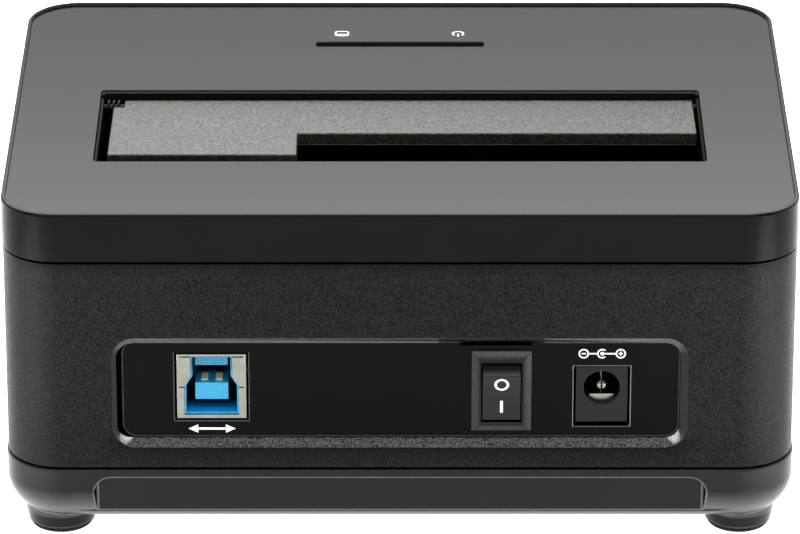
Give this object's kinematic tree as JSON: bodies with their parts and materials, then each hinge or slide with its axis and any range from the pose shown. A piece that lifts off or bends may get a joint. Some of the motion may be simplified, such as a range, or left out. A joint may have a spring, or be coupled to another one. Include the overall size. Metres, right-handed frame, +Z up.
{
  "type": "hard drive docking station",
  "caption": "Desk dock that holds a bare drive upright in a top slot with a sprung L-shaped door; rear panel has a data port, rocker switch and power jack.",
  "frame": {"origin": "on the table, under the middle of the whole object", "axes": "+X across the width, to the left seen from the rear; +Y to the rear panel; +Z up"},
  "size_m": [0.138, 0.102, 0.063],
  "materials": {
    "cover_plastic": "satin",
    "body_plastic": "fine grain",
    "panel_plastic": "polished",
    "base_plastic": "satin",
    "pad_rubber": "matte",
    "well_plastic": "matte",
    "door_plastic": "fine grain",
    "steel": "plain",
    "light_plastic": "smoked",
    "led_resin": "clear",
    "board": "solder mask",
    "white_plastic": "plain",
    "cable_cover": "plain",
    "red_cover": "plain",
    "connector_plastic": "plain",
    "contact_metal": "plated",
    "port_metal": "plated",
    "port_blue": "plain",
    "chip_plastic": "plain",
    "cap_metal": "plain"
  },
  "bodies": {
    "dock": {"top_cover": "cover_plastic", "body_shell": "body_plastic", "rear_panel": "panel_plastic", "base_tray": "base_plastic", "foot_pad_1": "pad_rubber", "foot_pad_2": "pad_rubber", "foot_pad_3": "pad_rubber", "foot_pad_4": "pad_rubber", "drive_well": "well_plastic", "hinge_pin": "steel", "door_spring": "steel", "base_screws": "steel", "cover_screws": "steel", "well_screws": "steel", "pcb_screws": "steel", "led_screws": "steel", "light_bar": "light_plastic", "power_led": "led_resin", "activity_led": "led_resin", "led_board": "board", "main_pcb": "board", "led_plug": "white_plastic", "led_cable": "cable_cover", "switch_wire_2": "cable_cover", "switch_wire_1": "red_cover", "sata_connector": "connector_plastic", "dc_jack_body": "connector_plastic", "switch_housing": "connector_plastic", "sata_signal_contacts": "contact_metal", "sata_power_contacts": "contact_metal", "usb_contacts": "contact_metal", "switch_terminal_common": "contact_metal", "switch_terminal_load": "contact_metal", "usb_shell": "port_metal", "dc_jack_pin": "port_metal", "dc_jack_leaf": "port_metal", "crystal": "port_metal", "usb_insulator": "port_blue", "bridge_chip": "chip_plastic", "flash_chip": "chip_plastic", "power_chip": "chip_plastic", "power_inductor": "chip_plastic", "bulk_cap_1": "cap_metal", "bulk_cap_2": "cap_metal"},
    "door": {"slot_door": "door_plastic"},
    "rocker": {"switch_rocker": "connector_plastic", "switch_plunger": "white_plastic"},
    "blade": {"switch_blade": "contact_metal"}
  },
  "joints": [
    {"name": "door_hinge", "type": "hinge", "parent": "dock", "child": "door", "pos_m": [0, -0.00624, 0.06005], "axis": [-1, 0, 0], "range_deg": [0, 90], "stiffness_Nm_per_rad": 0.006, "springref_deg": -68.75, "deforming": ["door_spring"]},
    {"name": "rocker_tilt", "type": "hinge", "parent": "dock", "child": "rocker", "pos_m": [-0.0176, 0.04736, 0.02935], "axis": [1, 0, 0], "range_deg": [0, 24]},
    {"name": "blade_tilt", "type": "hinge", "parent": "dock", "child": "blade", "pos_m": [-0.0176, 0.04131, 0.02935], "axis": [1, 0, 0], "range_deg": [-16, 0]}
  ],
  "couplings": [
    {"joint": "blade_tilt", "follows": "rocker_tilt", "ratio": -0.66667}
  ]
}
